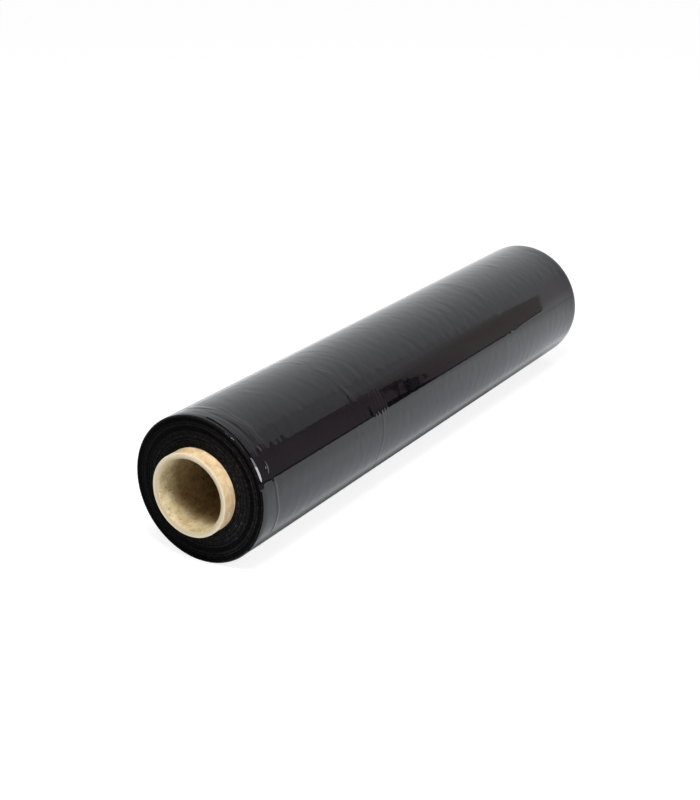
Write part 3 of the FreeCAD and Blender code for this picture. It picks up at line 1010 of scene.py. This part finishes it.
# A dark sheet along the purple card's foot, a painted shade.
card("painted_foot_shade", [[(0.2, 0.0), (1.39, 0.0), (1.39, 0.024), (0.2, 0.034)],
                   [(1.39, 0.0), (1.412, 0.03), (1.508, 0.064), (1.508, 0.084), (1.41, 0.048),
                    (1.39, 0.026)]],
     DARK_STAND_AND_SHADE, 14.0)
card("gap_card", [[(-0.7, 0.0), (0.42, 0.0), (0.47, 0.9), (-0.7, 0.9)]], GAP_CARD, 16.0)
# Glowing sheets in three panes, no lamps, seen only by the film: they paint the glints of the lamp beside
# the camera.
for low, high, strength in ((0.14, 0.22, 5.0), (0.22, 0.40, 14.0), (0.40, 0.54, 5.0)):
    card(f"window_card_{low}", [[(-0.53, low), (-0.29, low), (-0.29, high), (-0.53, high)]],
         GLINT_CARD, 40.0, strength)
print(f"{len(DARK_MARKS) + len(HALF_DARK_MARKS)} marks before cards {CARD_DISTANCE} m from the axis")

# %% [markdown]
# ## Light
#
# The room lights the roll at about half strength, but hardly from the near end, so that the bore is dark
# inside. A large soft box above, on the camera's side, adds the rest. A small one beside the camera and
# one above the near end light the mouth of the bore and the board, and are hidden from the film's mirror,
# where the glint card, a glowing sheet and no lamp, stands for them and paints their glints. To the camera
# the room is plain white, and to the film it is a shade darker on the camera's side and behind the camera,
# as in the photograph.

# %% Light the room
ROOM_LIGHT = (0.05, 0.48)
DARK_SIDE = 0.60
BACK_SIDE = 0.97
WHITE_SIDE = 1.04
BEHIND_CAMERA = 0.22
ROOM_TINT = (0.975, 0.99, 1.03, 1.0)
WHITE = (1.0, 1.0, 1.0, 1.0)


def light_room():
    world = bpy.data.worlds.new("room")
    bpy.context.scene.world = world
    tree = empty_tree(world)
    heading = add_node(tree, "ShaderNodeTexCoord").outputs["Generated"]
    parts = add_node(tree, "ShaderNodeSeparateXYZ", Vector=heading)
    x, y = parts.outputs["X"], parts.outputs["Y"]
    from_side = total(tree, spread(tree, y, -0.45, 0.22, DARK_SIDE, BACK_SIDE),
                      spread(tree, y, 0.22, 0.50, 0.0, WHITE_SIDE - BACK_SIDE))
    from_camera = total(tree, spread(tree, x, 0.15, 0.70, BEHIND_CAMERA, 0.92),
                        spread(tree, x, 0.70, 0.90, 0.0, 0.16))
    mirrored, shown, lighting = [
        add_node(tree, "ShaderNodeBackground", Color=colour, Strength=strength).outputs[0]
        for colour, strength in ((ROOM_TINT, product(tree, from_side, from_camera)), (WHITE, 1.0),
                                 (WHITE, spread(tree, x, -1.0, -0.35, *ROOM_LIGHT)))]
    to_film = for_rays(tree, "Glossy", lighting, mirrored)
    add_node(tree, "ShaderNodeOutputWorld", Surface=for_rays(tree, "Camera", to_film, shown))


def soft_box(name, place, width, height, power):
    """A rectangular lamp at a place, turned so that it faces the middle of the roll's near end."""
    lamp = bpy.data.lights.new(name, "AREA")
    lamp.shape = "RECTANGLE"
    lamp.size = width
    lamp.size_y = height
    lamp.energy = power
    holder = new_object(name, lamp)
    holder.location = place
    to_aim = np.array((-FILM_END, 0.0, AXIS_HEIGHT)) - np.array(place)
    distance = float(np.linalg.norm(to_aim))
    holder.rotation_euler = (math.acos(-to_aim[2] / distance), 0.0, math.atan2(-to_aim[0], to_aim[1]))
    holder.visible_camera = False
    print(f"{name}: {distance:.2f} m from its aim, radiance {power / (math.pi * width * height):.1f}")
    return holder


light_room()
soft_box("soft_box_above", (-0.66, -0.44, 1.45), width=0.27, height=0.50, power=16.0)
beside = soft_box("soft_box_beside", (-0.42, -0.74, 0.33), width=0.24, height=0.30, power=1.2)
beside.visible_glossy = False
in_front = soft_box("soft_box_in_front", (-0.62, -0.12, 1.05), width=0.24, height=0.24, power=3.7)
in_front.visible_glossy = False
